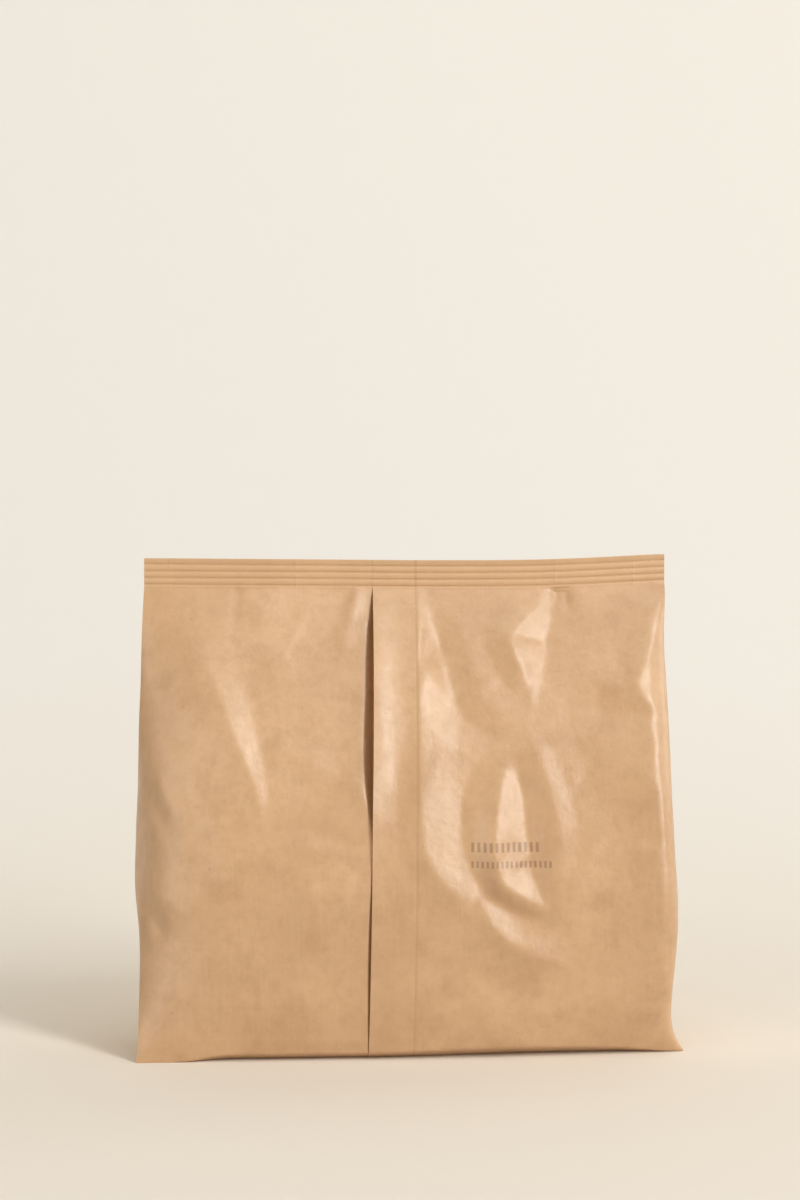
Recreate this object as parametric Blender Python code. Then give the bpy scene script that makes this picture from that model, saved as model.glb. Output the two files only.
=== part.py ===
"""Kraft paper bag of potting mix, closed and standing on its base.

One tube of paper makes the whole bag. Its lapped centre seam is folded to the left on the
face towards -Y, the top edge is pressed flat into a crimped seal, both sides are gussets and
the bottom seal is tucked under the base. The sheet is a grid that is wrapped round the bag:
its columns run up the bag, and its rows run round it.
"""
import bpy
import bmesh
import numpy as np

# Sizes are in metres. X runs along the width, Y into the depth and Z up.
BAG_WIDTH = 0.250
BAG_HEIGHT = 0.230
BASE_DEPTH = 0.063
SEAM_FACE_BULGE = 0.024
PLAIN_FACE_BULGE = 0.026
SIDE_BULGE = 0.0025
SIDE_DRIFT = 0.0020
PLAIN_FOLD_INSET = 0.021
GUSSET_TUCK = 0.012
RIGHT_CORNER_SETBACK = 0.009

# The crimped top seal: two layers of paper with grooves pressed in from both faces.
SEAL_BACKSET = 0.021
SEAL_THICKNESS = 0.0008
GROOVE_COUNT = 4
GROOVE_PITCH = 0.0032
GROOVE_WIDTH = 0.0016
GROOVE_DEPTH = 0.00025
TOP_LAND = 0.0044
BOTTOM_LAND = 0.0010
TOP_EDGE_LIFT = 0.0023
SEAL_HEIGHT = TOP_LAND + (GROOVE_COUNT - 1) * GROOVE_PITCH + BOTTOM_LAND
BODY_HEIGHT = BAG_HEIGHT - SEAL_HEIGHT

# The centre seam: a flap that is free along its left edge, with a pocket behind that edge.
FLAP_EDGE_X = -0.0156
FLAP_WIDTH = 0.020
FLAP_THICKNESS = 0.0005
FLAP_CURL = 0.0016
FLAP_SHOULDER = 0.0015
POCKET_DEPTH = 0.006
POCKET_REACH = 0.012
ROLL_WIDTH = 0.0065

# Where the faces and the sides turn under to the flat base.
SEAM_TURN_INSET = 0.022
SEAM_TURN_RISE = 0.0052
PLAIN_TURN_INSET = 0.014
PLAIN_TURN_RISE = 0.014
SIDE_TURN_INSET = 0.005
SIDE_TURN_RISE = 0.006

# Rise and reach of a fold whose point gives 1 for each.
FOLD_RISE = 0.001
FOLD_REACH = 0.010

# Profiles up the body: pairs of a share of the body's height and a share of a size above.
LEAN_PROFILE = ((0, 0), (0.07, 0.19), (0.19, 0.33), (0.37, 0.33), (0.56, 0.45), (0.74, 0.64),
                (0.93, 0.9), (1, 1))
DEPTH_PROFILE = ((0, 1), (0.07, 0.95), (0.19, 0.73), (0.37, 0.47), (0.56, 0.325), (0.74, 0.196),
                 (0.93, 0.059), (1, 0))
SEAM_BULGE_PROFILE = ((0, 0), (0.07, 0.33), (0.19, 0.75), (0.37, 1), (0.56, 0.92), (0.74, 0.63),
                      (0.93, 0.17), (1, 0))
PLAIN_BULGE_PROFILE = ((0, 0.38), (0.07, 0.54), (0.19, 0.77), (0.37, 1), (0.56, 0.77),
                       (0.74, 0.46), (0.93, 0.13), (1, 0))
SIDE_BULGE_PROFILE = ((0, 0.2), (0.2, 0.8), (0.4, 1), (0.7, 0.5), (1, 0))
LEFT_DRIFT_PROFILE = ((0, -1.35), (0.04, -1.3), (0.13, -1), (0.22, -0.45), (0.31, 0.1),
                      (0.44, 0.85), (0.62, 0.5), (0.8, 0.4), (1, 0.25))
RIGHT_DRIFT_PROFILE = ((0, 1.15), (0.035, -0.25), (0.066, -1.1), (0.105, -1.1), (0.19, -0.15),
                       (0.25, 0.7), (0.31, 1), (0.44, 0.95), (0.62, 0.3), (0.8, -0.35),
                       (0.92, -0.75), (1, -0.45))
SETBACK_PROFILE = ((0, 1), (0.04, 0.7), (0.1, 0.2), (0.2, 0), (1, 0))
PLAIN_INSET_PROFILE = ((0, 1), (0.07, 0.81), (0.23, 0.43), (0.46, 0.19), (0.74, 0.05), (1, 0))
GUSSET_PROFILE = ((0, 0.75), (0.07, 0.67), (0.14, 0.25), (0.21, 0), (0.62, 0), (0.7, 0.25),
                  (0.77, 0.58), (0.84, 0.83), (0.9, 1), (0.965, 1), (0.99, 0.67), (1, 0))
POCKET_PROFILE = ((0, 0), (0.05, 0.13), (0.14, 0.33), (0.23, 0.33), (0.31, 0.15), (0.46, 0.2),
                  (0.65, 1), (0.88, 1), (0.96, 0.5), (1, 0))
CURL_PROFILE = ((0, 0), (0.3, 0.06), (0.5, 0.25), (0.62, 0.75), (0.75, 1), (0.9, 0.88),
                (0.97, 0.55), (1, 0))

# How the seam face turns under, up its rise, and the share of that rise along the width: the
# corners reach down to the floor, and the edge between them stands clear of it.
SEAM_TURN_PROFILE = ((0, 1), (0.25, 0.7), (0.5, 0.4), (0.75, 0.13), (0.9, 0.02), (1, 0))
EDGE_RISE_PROFILE = ((-1, 0.02), (-0.82, 0.12), (-0.7, 0.66), (-0.5, 0.72), (-0.1, 0.74),
                     (0.2, 0.95), (0.5, 1), (0.8, 0.64), (0.93, 0.2), (1, 0.02))

# The top edge rises to the right: pairs of a share of the half width and a share of the lift.
TOP_EDGE_PROFILE = ((-1, 0), (-0.3, -0.22), (0.1, -0.35), (0.55, -0.13), (1, 1))
LIFT_START = 0.6

# How full a face is across its width, and how its folds fade towards its side folds.
CROWN_POWER = 3.0
CROWN_ROUNDING = 0.82
FADE_POWER = 10
CORNER_FADE_POWER = 6
SEAL_FADE = 0.02
BASE_FADE = 0.02

# Folds of the paper, each a route of points with a soft crest. A point is its place as a
# share of the half width and of the body's height, its rise, below zero where it sinks, and
# how far the paper slopes away to the left and to the right of the route.
SEAM_FACE_FOLDS = (
    # The crest where the flap is joined, and the trough that leaves it.
    ((0.05, 0.98, 0.1, 0.3, 0.9), (0.05, 0.89, 1.2, 0.9, 0.9), (0.045, 0.76, 1.7, 1.5, 0.9),
     (0.05, 0.68, 1.5, 1.6, 0.9), (0.05, 0.6, 0.5, 1, 0.8), (0.045, 0.3, 0.2, 0.8, 0.6)),
    ((0.1, 0.92, -0.2, 0.8, 0.8), (0.15, 0.78, -1.2, 1, 1), (0.2, 0.71, -1.4, 1.2, 1.2),
     (0.32, 0.68, -0.8, 1, 1)),
    # The hollow that runs round the tongue, with a crest outside it.
    ((0.07, 0.66, 0.3, 0.8, 0.8), (0.1, 0.53, 1.5, 1.4, 1.2), (0.13, 0.42, 1.6, 1.2, 1.2),
     (0.26, 0.35, 0.4, 0.8, 1)),
    ((0.42, 0.67, -0.3, 0.8, 0.8), (0.29, 0.64, -2.4, 1.3, 1.4), (0.21, 0.53, -3.3, 1.3, 1.9),
     (0.23, 0.42, -3, 1.2, 1.8), (0.33, 0.33, -2.2, 0.8, 1.3), (0.54, 0.29, -0.6, 0.6, 1.1)),
    # The tongue: its crest, the hollow beside it and the crest that closes it on the right.
    ((0.36, 0.62, 0.2, 0.7, 0.7), (0.33, 0.54, 1.9, 0.9, 0.9), (0.32, 0.4, 2.4, 0.9, 0.9),
     (0.48, 0.32, 0.4, 0.6, 0.6)),
    ((0.39, 0.61, -0.4, 0.8, 0.6), (0.42, 0.46, -2.2, 1.4, 0.9), (0.48, 0.33, -0.4, 0.8, 0.6)),
    ((0.49, 0.65, 0.3, 0.7, 0.8), (0.56, 0.52, 2.2, 0.8, 1.6), (0.57, 0.38, 1.4, 0.7, 1.4),
     (0.55, 0.28, 0.3, 0.6, 0.8)),
    ((0.26, 0.33, 0.2, 0.7, 0.8), (0.35, 0.25, 1.2, 0.9, 1.2), (0.5, 0.24, 1.2, 0.9, 1.2),
     (0.59, 0.29, 0.1, 0.6, 0.8)),
    # The pleat under the seal and the facet on its left.
    ((0.58, 1.0, -1.6, 0.5, 1), (0.57, 0.94, -2, 0.7, 1.2), (0.52, 0.8, -1, 0.9, 1.1),
     (0.48, 0.74, 0, 0.8, 0.8)),
    ((0.63, 1.0, 0.9, 1, 0.6), (0.64, 0.88, 0.2, 0.9, 0.6)),
    ((0.5, 0.95, 0.5, 1, 0.8), (0.4, 0.9, 1.4, 1.6, 0.9), (0.43, 0.83, 1.2, 1.4, 0.9),
     (0.49, 0.75, 0.1, 0.6, 0.6)),
    # The crests along the right edge.
    ((0.98, 0.99, 1.4, 0.6, 2), (0.95, 0.86, 2.2, 0.8, 1.6), (0.89, 0.79, 1.9, 1.1, 1.2),
     (0.96, 0.73, 0.3, 0.6, 0.7)),
    ((0.96, 0.73, 0.6, 0.6, 0.9), (0.94, 0.65, 1.4, 0.8, 1.4), (0.76, 0.56, 0, 0.9, 1)),
    ((0.96, 0.62, 0.4, 0.6, 0.9), (0.965, 0.4, 0.9, 0.6, 1), (0.96, 0.13, 0.3, 0.6, 1)),
    # The wedge on the left panel and the pleats under the seal.
    ((-0.73, 0.83, 0.3, 3.4, 0.9), (-0.61, 0.68, 1, 1.8, 1.4), (-0.52, 0.51, 0.1, 0.6, 0.8)),
    ((-0.18, 1.0, 0.6, 0.6, 0.5), (-0.22, 0.93, 0.9, 0.9, 0.7), (-0.25, 0.83, 0, 0.7, 0.7)),
    ((-0.47, 1.0, 0.5, 1, 0.7), (-0.55, 0.94, 0.7, 1.2, 0.8), (-0.54, 0.9, 0, 1, 0.7)),
    # The dents at the left edge.
    ((-0.98, 0.59, -0.3, 0.7, 0.8), (-0.92, 0.52, -1.3, 0.7, 0.9), (-0.85, 0.43, 0, 0.7, 0.8)),
    ((-0.96, 0.34, 0.2, 0.9, 0.7), (-0.86, 0.33, 1, 1.2, 0.9), (-0.78, 0.27, 0.2, 0.8, 0.8)),
    ((-0.97, 0.33, -0.3, 0.6, 0.8), (-0.9, 0.27, -1.8, 0.7, 0.9), (-0.96, 0.22, 0, 0.6, 0.7)),
    # The soft swelling low on the left.
    ((-0.89, 0.16, 0, 2, 2), (-0.75, 0.13, 0.6, 2.4, 2.4), (-0.6, 0.1, 0, 2, 2)),
)
PLAIN_FACE_FOLDS = (
    ((-0.45, 1.0, -1.2, 1.2, 1), (-0.5, 0.9, -2.6, 1.6, 1.4), (-0.62, 0.76, 0, 1.6, 1.4)),
    ((0.1, 1.0, -1, 1, 1.2), (0.05, 0.9, -2, 1.4, 1.6), (0.12, 0.76, 0, 1.4, 1.6)),
    ((0.72, 1.0, -1, 1, 1.2), (0.66, 0.86, -2.6, 1.6, 1.6), (0.5, 0.72, 0, 1.4, 1.6)),
    ((-0.34, 0.66, 0, 1.4, 1.4), (-0.12, 0.57, -2.8, 1.8, 1.6), (0.15, 0.55, -2.4, 1.8, 1.6),
     (0.34, 0.63, 0, 1.4, 1.4)),
    ((0.98, 0.62, 0, 1.2, 1.2), (0.84, 0.5, -2.8, 1.6, 1.6), (0.6, 0.43, 0, 1.4, 1.4)),
    ((-0.98, 0.5, 0, 1.2, 1.2), (-0.84, 0.42, -2.8, 1.5, 1.5), (-0.64, 0.44, 0, 1.4, 1.4)),
    ((-0.8, 0.24, 0, 1.4, 1.2), (-0.4, 0.17, 1.4, 1.6, 1.4), (0.1, 0.15, 1.4, 1.6, 1.4),
     (0.6, 0.2, 0, 1.4, 1.2)),
)
FOLD_STEPS = 6

# How finely the sheet is divided.
LEFT_PANEL_COLUMNS = 18
FLAP_COLUMNS = 4
RIGHT_PANEL_COLUMNS = 34
PLAIN_FACE_COLUMNS = 24
SIDE_COLUMNS = 6
BODY_ROWS = 38
TURN_ROWS = (0.0, 0.2, 0.4, 0.6, 0.8, 1.0)
SEAL_GATHER_ROWS = (0.985, 0.97)
WELD_DISTANCE = 0.000001

KRAFT_COLOR = (0.66, 0.42, 0.225, 1.0)
KRAFT_ROUGHNESS = 0.6
SHARP_ANGLE = 0.6


def curve(points, at):
    """Read a smooth curve through the points at each position."""
    position, value = np.array(points, dtype=float).T
    slope = np.gradient(value, position)
    first = np.clip(np.searchsorted(position, at, side="right") - 1, 0, len(position) - 2)
    span = position[first + 1] - position[first]
    step = np.clip((at - position[first]) / span, 0.0, 1.0)
    ease = step * step * (3.0 - 2.0 * step)
    bend = (1.0 - step) * slope[first] - step * slope[first + 1]
    return (1.0 - ease) * value[first] + ease * value[first + 1] + step * (1.0 - step) * span * bend


def turn_under(height, inset, rise):
    """How far paper has turned under at each height above the base, on a quarter ellipse."""
    left_to_go = 1.0 - np.clip(height / rise, 0.0, 1.0)
    return inset * (1.0 - np.sqrt(1.0 - left_to_go * left_to_go))


def fold_route(points):
    """The route of a fold in metres, rounded through its points."""
    to_metres = (BAG_WIDTH / 2.0, BODY_HEIGHT, FOLD_RISE, FOLD_REACH, FOLD_REACH)
    points = np.array(points, dtype=float) * to_metres
    station = np.arange(len(points), dtype=float)
    fine = np.linspace(0.0, station[-1], FOLD_STEPS * (len(points) - 1) + 1)
    return np.stack([curve(np.stack([station, points[:, axis]], axis=1), fine)
                     for axis in range(len(to_metres))], axis=1)


def fold_rise(x, z, points):
    """Rise of one fold over the sheet: a soft crest with paper sloping away on both sides."""
    route = fold_route(points)
    nearest = np.full(x.shape, np.inf)
    rise = np.zeros(x.shape)
    for start, end in zip(route[:-1], route[1:]):
        run = end - start
        along = ((x - start[0]) * run[0] + (z - start[1]) * run[1]) / (run[0] ** 2 + run[1] ** 2)
        along = np.clip(along, 0.0, 1.0)
        off_x = x - start[0] - along * run[0]
        off_z = z - start[1] - along * run[1]
        distance = np.hypot(off_x, off_z)
        reaches = start[3:, None, None] + along * run[3:, None, None]
        reach = np.where(run[0] * off_z > run[1] * off_x, *reaches)
        slope = np.clip(1.0 - (distance / reach) ** 2, 0.0, 1.0) ** 2
        here = (start[2] + along * run[2]) * slope
        rise = np.where(distance < nearest, here, rise)
        nearest = np.minimum(nearest, distance)
    return rise


def relief(x, z, across, folds):
    """All folds of a face, fading out at its side folds, at the base and in the seal."""
    total = sum(fold_rise(x, z, fold) for fold in folds)
    side_fade = 1.0 - np.abs(across) ** FADE_POWER
    seal_fade = np.clip((1.0 - z / BODY_HEIGHT) / SEAL_FADE, 0.0, 1.0)
    base_fade = np.clip(z / BODY_HEIGHT / BASE_FADE, 0.0, 1.0)
    return total * side_fade * seal_fade * base_fade


def crown(across):
    """Share of a face's bulge at each share of its half width."""
    return np.clip(1.0 - np.abs(across) ** CROWN_POWER, 0.0, 1.0) ** CROWN_ROUNDING


def corner_fade(across):
    """The turn under to the base runs out towards the bag's corners."""
    return 1.0 - np.abs(across) ** CORNER_FADE_POWER


def row_heights():
    """Heights of the sheet's rows: the turned base, the body and the grooved seal."""
    turn = np.array(TURN_ROWS) * SEAM_TURN_RISE
    body = np.linspace(SEAM_TURN_RISE, BODY_HEIGHT, BODY_ROWS + 1)[1:]
    gather = np.array(SEAL_GATHER_ROWS) * BODY_HEIGHT
    groove = groove_heights()
    seal = [groove - GROOVE_WIDTH / 2.0, groove, groove + GROOVE_WIDTH / 2.0, [BAG_HEIGHT]]
    return np.unique(np.round(np.concatenate([turn, body, gather, *seal]), 7))[:, None]


def groove_heights():
    return BAG_HEIGHT - TOP_LAND - GROOVE_PITCH * np.arange(GROOVE_COUNT)


def groove_sink(height):
    """Depth of the seal's grooves at each height."""
    off = np.min(np.abs(height - groove_heights()[None, :]), axis=1, keepdims=True)
    return GROOVE_DEPTH * np.clip(1.0 - 2.0 * off / GROOVE_WIDTH, 0.0, 1.0)


class Sheet:
    """The wrapped sheet: columns of points, added one after another round the bag."""

    def __init__(self):
        self.height = row_heights()
        self.share = np.clip(self.height / BODY_HEIGHT, 0.0, 1.0)
        half_width = BAG_WIDTH / 2.0
        self.left = half_width + SIDE_DRIFT * curve(LEFT_DRIFT_PROFILE, self.share)
        self.right = half_width + SIDE_DRIFT * curve(RIGHT_DRIFT_PROFILE, self.share)
        self.plain_half = half_width - PLAIN_FOLD_INSET * curve(PLAIN_INSET_PROFILE, self.share)
        centre = SEAL_BACKSET * curve(LEAN_PROFILE, self.share)
        open_depth = (BASE_DEPTH - SEAL_THICKNESS) * curve(DEPTH_PROFILE, self.share)
        half_depth = (SEAL_THICKNESS + open_depth) / 2.0 - groove_sink(self.height)
        self.seam_fold_y = centre - half_depth
        self.setback = RIGHT_CORNER_SETBACK * curve(SETBACK_PROFILE, self.share)
        # Half of the plain face's turn is taken by its side folds and half by the face itself.
        self.plain_turn = turn_under(self.height, PLAIN_TURN_INSET, PLAIN_TURN_RISE) / 2.0
        self.plain_fold_y = centre + half_depth - self.plain_turn
        self.columns = []

    def add(self, x, y):
        """Add columns at these places, each with one row to a height."""
        x, y, z = np.broadcast_arrays(x, y, self.height)
        lift_share = np.clip((self.share - LIFT_START) / (1.0 - LIFT_START), 0.0, 1.0)
        edge = np.clip(2.0 * x / BAG_WIDTH, -1.0, 1.0)
        z = z + TOP_EDGE_LIFT * curve(TOP_EDGE_PROFILE, edge) * lift_share ** 2
        self.columns.append(np.stack([x, y, z], axis=2))

    def seam_face_y(self, x):
        """The seam face without its flap: the side folds, the bulge, the folds and the turn."""
        across = x / np.where(x < 0.0, self.left, self.right)
        bulge = SEAM_FACE_BULGE * curve(SEAM_BULGE_PROFILE, self.share) * crown(across)
        edge_rise = curve(EDGE_RISE_PROFILE, across)
        up_edge = self.height / (SEAM_TURN_RISE * edge_rise)
        turned = SEAM_TURN_INSET * edge_rise * curve(SEAM_TURN_PROFILE, up_edge)
        setback = self.setback * np.clip(across, 0.0, 1.0) ** 2
        folds = relief(x, np.broadcast_to(self.height, x.shape), across, SEAM_FACE_FOLDS)
        return self.seam_fold_y - bulge - folds + turned + setback

    def add_seam_face(self):
        """The left panel, the pocket behind the flap's edge, the flap and the right panel."""
        open_share = curve(POCKET_PROFILE, self.share)
        edge_x = np.full_like(self.height, FLAP_EDGE_X)
        root_x = FLAP_EDGE_X + FLAP_WIDTH

        roll_start = FLAP_EDGE_X - ROLL_WIDTH
        step = np.linspace(0.0, 1.0, LEFT_PANEL_COLUMNS + 1)[None, :]
        x = -self.left + step * (roll_start + self.left)
        self.add(x, self.seam_face_y(x))
        for roll in (0.5, 1.0):
            x = edge_x - ROLL_WIDTH * (1.0 - roll)
            self.add(x, self.seam_face_y(x) + POCKET_DEPTH * open_share * roll ** 2)

        pocket_x = edge_x + POCKET_REACH * open_share
        self.add(pocket_x, self.seam_face_y(pocket_x))
        curl = FLAP_CURL * curve(CURL_PROFILE, self.share)
        self.add(edge_x, self.seam_face_y(edge_x) - curl)
        step = np.linspace(0.0, 1.0, FLAP_COLUMNS + 1)[None, :]
        x = edge_x + step * FLAP_WIDTH
        self.add(x, self.seam_face_y(x) - curl * (1.0 - step) ** 2 - FLAP_THICKNESS)

        start = root_x + FLAP_SHOULDER
        step = np.linspace(0.0, 1.0, RIGHT_PANEL_COLUMNS + 1)[None, :]
        x = start + step * (self.right - start)
        self.add(x, self.seam_face_y(x))

    def add_side(self, sign, seam_fold_x, seam_fold_y):
        """A gusset: from the seam face to the plain face on the right, and back on the left."""
        step = np.linspace(-1.0, 1.0, SIDE_COLUMNS + 1)[None, 1:] * sign
        mix = (1.0 + step) / 2.0
        fold_x = seam_fold_x * (1.0 - mix) + self.plain_half * mix
        middle = 1.0 - step ** 2
        swell = SIDE_BULGE * curve(SIDE_BULGE_PROFILE, self.share) * middle
        tuck = GUSSET_TUCK * curve(GUSSET_PROFILE, self.share) * (1.0 - np.abs(step))
        turned = turn_under(self.height, SIDE_TURN_INSET, SIDE_TURN_RISE) * middle
        fold_y = seam_fold_y * (1.0 - mix) + self.plain_fold_y * mix
        self.add(sign * (fold_x + swell - tuck - turned), fold_y)

    def add_plain_face(self):
        step = np.linspace(1.0, -1.0, PLAIN_FACE_COLUMNS + 1)[None, 1:]
        x = step * self.plain_half
        bulge = PLAIN_FACE_BULGE * curve(PLAIN_BULGE_PROFILE, self.share) * crown(step)
        turned = self.plain_turn * corner_fade(step)
        folds = relief(x, np.broadcast_to(self.height, x.shape), step, PLAIN_FACE_FOLDS)
        self.add(x, self.plain_fold_y + bulge + folds - turned)

    def points(self):
        return np.concatenate(self.columns, axis=1)


def wrapped_points():
    """Points of the whole sheet, as rows by columns by X, Y and Z."""
    sheet = Sheet()
    sheet.add_seam_face()
    sheet.add_side(1, sheet.right, sheet.seam_face_y(sheet.right))
    sheet.add_plain_face()
    sheet.add_side(-1, sheet.left, sheet.seam_face_y(-sheet.left))
    return sheet.points()


def make_material():
    material = bpy.data.materials.new("kraft_paper")
    material.use_nodes = True
    shader = material.node_tree.nodes["Principled BSDF"]
    shader.inputs["Base Color"].default_value = KRAFT_COLOR
    shader.inputs["Roughness"].default_value = KRAFT_ROUGHNESS
    shader.inputs["Metallic"].default_value = 0.0
    material.diffuse_color = KRAFT_COLOR
    return material


def make_bag(collection):
    """Wrap a grid round the bag, weld its meeting edges and close its top and base."""
    points = wrapped_points()
    rows, columns = points.shape[:2]
    sheet = bmesh.new()
    bmesh.ops.create_grid(sheet, x_segments=columns - 1, y_segments=rows - 1, size=1.0)
    for vert in sheet.verts:
        column = round((vert.co.x + 1.0) / 2.0 * (columns - 1))
        row = round((vert.co.y + 1.0) / 2.0 * (rows - 1))
        vert.co = points[row, column]
    bmesh.ops.remove_doubles(sheet, verts=sheet.verts, dist=WELD_DISTANCE)
    rims = [edge for edge in sheet.edges if edge.is_boundary]
    bmesh.ops.holes_fill(sheet, edges=rims, sides=0)
    bmesh.ops.triangulate(sheet, faces=sheet.faces)
    bmesh.ops.recalc_face_normals(sheet, faces=sheet.faces)

    low = points.min(axis=(0, 1))
    high = points.max(axis=(0, 1))
    to_origin = (-(low[0] + high[0]) / 2.0, -(low[1] + high[1]) / 2.0, -low[2])
    bmesh.ops.translate(sheet, verts=sheet.verts, vec=to_origin)

    mesh = bpy.data.meshes.new("paper_bag")
    sheet.to_mesh(mesh)
    sheet.free()
    mesh.materials.append(make_material())
    mesh.shade_smooth()
    mesh.set_sharp_from_angle(angle=SHARP_ANGLE)
    collection.objects.link(bpy.data.objects.new("paper_bag", mesh))


def main():
    for old in list(bpy.data.objects):
        bpy.data.objects.remove(old, do_unlink=True)
    collection = bpy.data.collections.new("potting_soil_bag")
    bpy.context.scene.collection.children.link(collection)
    make_bag(collection)


main()
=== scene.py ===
"""The looks of a kraft paper bag of potting mix, closed and standing on its base.

The whole bag is one tube of satin kraft paper. Its sheet is laid out as a fine grid and wrapped
round the pack, with the lapped centre seam on the face towards -Y, the crimped seal on top, a
gusset on each side and every fold of the paper as a raised or sunken route.
"""
import math

import bmesh
import bpy
import numpy as np
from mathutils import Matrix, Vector


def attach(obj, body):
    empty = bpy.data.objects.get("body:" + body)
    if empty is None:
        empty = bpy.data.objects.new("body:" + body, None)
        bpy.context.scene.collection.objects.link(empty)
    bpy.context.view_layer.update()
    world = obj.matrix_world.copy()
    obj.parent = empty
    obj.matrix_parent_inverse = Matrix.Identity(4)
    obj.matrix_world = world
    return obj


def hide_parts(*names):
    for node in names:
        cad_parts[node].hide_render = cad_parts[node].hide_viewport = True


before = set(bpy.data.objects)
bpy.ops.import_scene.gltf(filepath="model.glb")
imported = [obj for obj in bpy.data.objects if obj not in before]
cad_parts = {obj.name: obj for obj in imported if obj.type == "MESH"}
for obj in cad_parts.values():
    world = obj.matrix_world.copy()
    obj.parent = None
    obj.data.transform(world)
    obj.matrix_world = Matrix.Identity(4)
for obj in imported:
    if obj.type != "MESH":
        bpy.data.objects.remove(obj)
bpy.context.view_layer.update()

# Sizes are in metres. X runs along the width, Y into the depth and Z up.
BAG_WIDTH = 0.250
BAG_HEIGHT = 0.230
BASE_DEPTH = 0.063
SEAM_FACE_BULGE = 0.024
PLAIN_FACE_BULGE = 0.026
SIDE_BULGE = 0.0025
SIDE_DRIFT = 0.0020
SEAM_SWAY = 0.0037
PLAIN_FOLD_INSET = 0.021
GUSSET_TUCK = 0.012
RIGHT_CORNER_SETBACK = 0.009
TOP_CORNER_REACH = 0.0045

# The crimped top seal: two layers of paper with grooves pressed in from both faces.
SEAL_BACKSET = 0.021
SEAL_THICKNESS = 0.0008
GROOVE_COUNT = 4
GROOVE_PITCH = 0.0032
GROOVE_WIDTH = 0.0012
GROOVE_DEPTH = 0.00055
TOP_LAND = 0.0029
BOTTOM_LAND = 0.0010
TOP_EDGE_LIFT = 0.0023
SEAL_HEIGHT = TOP_LAND + (GROOVE_COUNT - 1) * GROOVE_PITCH + BOTTOM_LAND
BODY_HEIGHT = BAG_HEIGHT - SEAL_HEIGHT

# The centre seam: a flap that is free along its left edge, with a pocket behind that edge. The
# paper beside the pocket rolls in, and a shallow groove runs along the flap's root.
FLAP_EDGE_X = -0.0156
FLAP_WIDTH = 0.020
FLAP_THICKNESS = 0.0005
FLAP_CURL = 0.0063
CURL_POWER = 1.8
POCKET_DEPTH = 0.0032
POCKET_REACH = 0.012
ROLL_WIDTH = 0.0053
ROLL_POWER = 1.5
ROOT_GROOVE_WIDTH = 0.0013
ROOT_GROOVE_DEPTH = 0.00012

# The share of the flap's thickness that is left in the seal, and the share of the right panel
# over which the thickness fades out.
PRESSED_SHARE = 0.3
THICKNESS_FADE_SHARE = 1.0 / 3.0

# The share of the small creases that the flap keeps, and how far beside it they are all there.
FLAP_CALM = 0.25
CALM_MARGIN = 0.004

# Where the faces and the sides turn under to the flat base.
SEAM_TURN_INSET = 0.009
SEAM_TURN_RISE = 0.0052
PLAIN_TURN_INSET = 0.014
PLAIN_TURN_RISE = 0.014
SIDE_TURN_INSET = 0.005
SIDE_TURN_RISE = 0.006

# Rise and reach of a fold whose point gives 1 for each.
FOLD_RISE = 0.001
FOLD_REACH = 0.010

# Profiles up the body: pairs of a share of the body's height and a share of a size above.
LEAN_PROFILE = ((0, 0), (0.07, 0.19), (0.19, 0.33), (0.37, 0.33), (0.56, 0.45), (0.74, 0.64),
                (0.93, 0.9), (1, 1))
DEPTH_PROFILE = ((0, 1), (0.07, 0.95), (0.19, 0.73), (0.37, 0.47), (0.56, 0.325), (0.74, 0.196),
                 (0.93, 0.059), (1, 0))
SEAM_BULGE_PROFILE = ((0, 0), (0.07, 0.33), (0.19, 0.75), (0.37, 1), (0.56, 0.92), (0.74, 0.63),
                      (0.93, 0.17), (1, 0))
PLAIN_BULGE_PROFILE = ((0, 0.38), (0.07, 0.54), (0.19, 0.77), (0.37, 1), (0.56, 0.77),
                       (0.74, 0.46), (0.93, 0.13), (1, 0))
SIDE_BULGE_PROFILE = ((0, 0.2), (0.2, 0.8), (0.4, 1), (0.7, 0.5), (1, 0))
LEFT_DRIFT_PROFILE = ((0, -0.1), (0.04, -0.35), (0.11, -0.47), (0.2, -0.5), (0.33, -0.1),
                      (0.45, -0.75), (0.55, -0.55), (0.63, 0.2), (0.8, 0), (0.92, -0.17), (1, -0.5))
RIGHT_DRIFT_PROFILE = ((0, 1.5), (0.035, -0.55), (0.066, -1.3), (0.11, -1.2), (0.19, -0.1),
                       (0.25, 0.6), (0.33, 0.8), (0.45, 0.3), (0.55, 0.25), (0.63, 0.35),
                       (0.8, 0.4), (0.92, 0.25), (1, 1.1))
SETBACK_PROFILE = ((0, 1), (0.04, 0.7), (0.1, 0.2), (0.2, 0), (1, 0))
TOP_CORNER_PROFILE = ((0, 0), (0.8, 0), (0.85, 0.1), (0.89, 0.6), (0.93, 1), (0.97, 0.8), (1, 0))
PLAIN_INSET_PROFILE = ((0, 1), (0.07, 0.81), (0.23, 0.43), (0.46, 0.19), (0.74, 0.05), (1, 0))
GUSSET_PROFILE = ((0, 0.75), (0.07, 0.67), (0.14, 0.25), (0.21, 0), (0.62, 0), (0.7, 0.25),
                  (0.77, 0.58), (0.84, 0.83), (0.9, 1), (0.965, 1), (0.99, 0.67), (1, 0))
POCKET_PROFILE = ((0, 0.03), (0.05, 0.2), (0.11, 0.35), (0.16, 0.45), (0.25, 0.45), (0.31, 0.3),
                  (0.4, 0.06), (0.46, 0.08), (0.55, 0.65), (0.63, 1), (0.75, 0.9), (0.9, 0.68),
                  (0.96, 0.3), (1, 0.01))
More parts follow.
